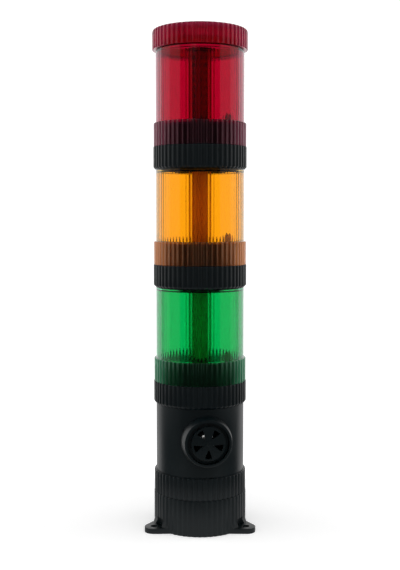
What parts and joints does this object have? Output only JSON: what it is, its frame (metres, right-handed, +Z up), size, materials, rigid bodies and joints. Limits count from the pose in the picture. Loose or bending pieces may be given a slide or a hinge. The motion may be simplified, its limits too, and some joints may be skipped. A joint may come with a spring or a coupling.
{
  "type": "stack light",
  "caption": "Modular stack light: ribbed three-ear base, buzzer module with round grille, green, amber and red bayonet light modules and a ribbed cap.",
  "frame": {"origin": "centre of the three fixing holes, on the mounting face", "axes": "+Z up the tower, -Y to the side that the grille faces, +Y through the rear ear"},
  "size_m": [0.083, 0.0893, 0.3761],
  "materials": {
    "black_plastic": "satin moulded black",
    "green_lens": "clear green plastic",
    "amber_lens": "clear amber plastic",
    "red_lens": "clear red plastic",
    "seal_rubber": "matte",
    "contact_brass": "bright",
    "screw_steel": "zinc plated",
    "sounder_metal": "bright",
    "board_green": "solder mask",
    "led_yellow": "clear",
    "grey_plastic": "matte"
  },
  "bodies": {
    "base": {"base_housing": "black_plastic", "base_gasket": "seal_rubber", "base_seal": "seal_rubber", "terminal_carrier": "grey_plastic", "terminal_screws": "screw_steel", "carrier_screws": "screw_steel", "base_tracks": "contact_brass"},
    "buzzer_module": {"buzzer_housing": "black_plastic", "buzzer_grille": "black_plastic", "buzzer_sounder": "black_plastic", "sounder_dome": "sounder_metal", "buzzer_socket": "grey_plastic", "buzzer_pins": "contact_brass", "buzzer_board": "board_green", "buzzer_column": "grey_plastic", "buzzer_head": "black_plastic", "buzzer_tracks": "contact_brass", "buzzer_seal": "seal_rubber"},
    "green_module": {"green_collar": "black_plastic", "green_socket": "grey_plastic", "green_pins": "contact_brass", "green_board": "board_green", "green_capacitor": "black_plastic", "green_column": "board_green", "green_leds": "led_yellow", "green_lens": "green_lens", "green_head": "black_plastic", "green_tracks": "contact_brass", "green_seal": "seal_rubber"},
    "amber_module": {"amber_collar": "black_plastic", "amber_socket": "grey_plastic", "amber_pins": "contact_brass", "amber_board": "board_green", "amber_capacitor": "black_plastic", "amber_column": "board_green", "amber_leds": "led_yellow", "amber_lens": "amber_lens", "amber_head": "black_plastic", "amber_tracks": "contact_brass", "amber_seal": "seal_rubber"},
    "red_module": {"red_collar": "black_plastic", "red_socket": "grey_plastic", "red_pins": "contact_brass", "red_board": "board_green", "red_capacitor": "black_plastic", "red_column": "board_green", "red_leds": "led_yellow", "red_lens": "red_lens", "red_head": "black_plastic", "red_tracks": "contact_brass", "red_seal": "seal_rubber"},
    "cap": {"top_cap": "red_lens"}
  },
  "joints": [
    {"name": "buzzer_twist", "type": "hinge", "parent": "base", "child": "buzzer_module", "pos_m": [0, 0, 0.027], "axis": [0, 0, 1], "range_deg": [0, 26]},
    {"name": "green_twist", "type": "hinge", "parent": "buzzer_module", "child": "green_module", "pos_m": [0, 0, 0.095], "axis": [0, 0, 1], "range_deg": [0, 26]},
    {"name": "amber_twist", "type": "hinge", "parent": "green_module", "child": "amber_module", "pos_m": [0, 0, 0.183], "axis": [0, 0, 1], "range_deg": [0, 26]},
    {"name": "red_twist", "type": "hinge", "parent": "amber_module", "child": "red_module", "pos_m": [0, 0, 0.271], "axis": [0, 0, 1], "range_deg": [0, 26]},
    {"name": "cap_twist", "type": "hinge", "parent": "red_module", "child": "cap", "pos_m": [0, 0, 0.359], "axis": [0, 0, 1], "range_deg": [0, 26]}
  ]
}
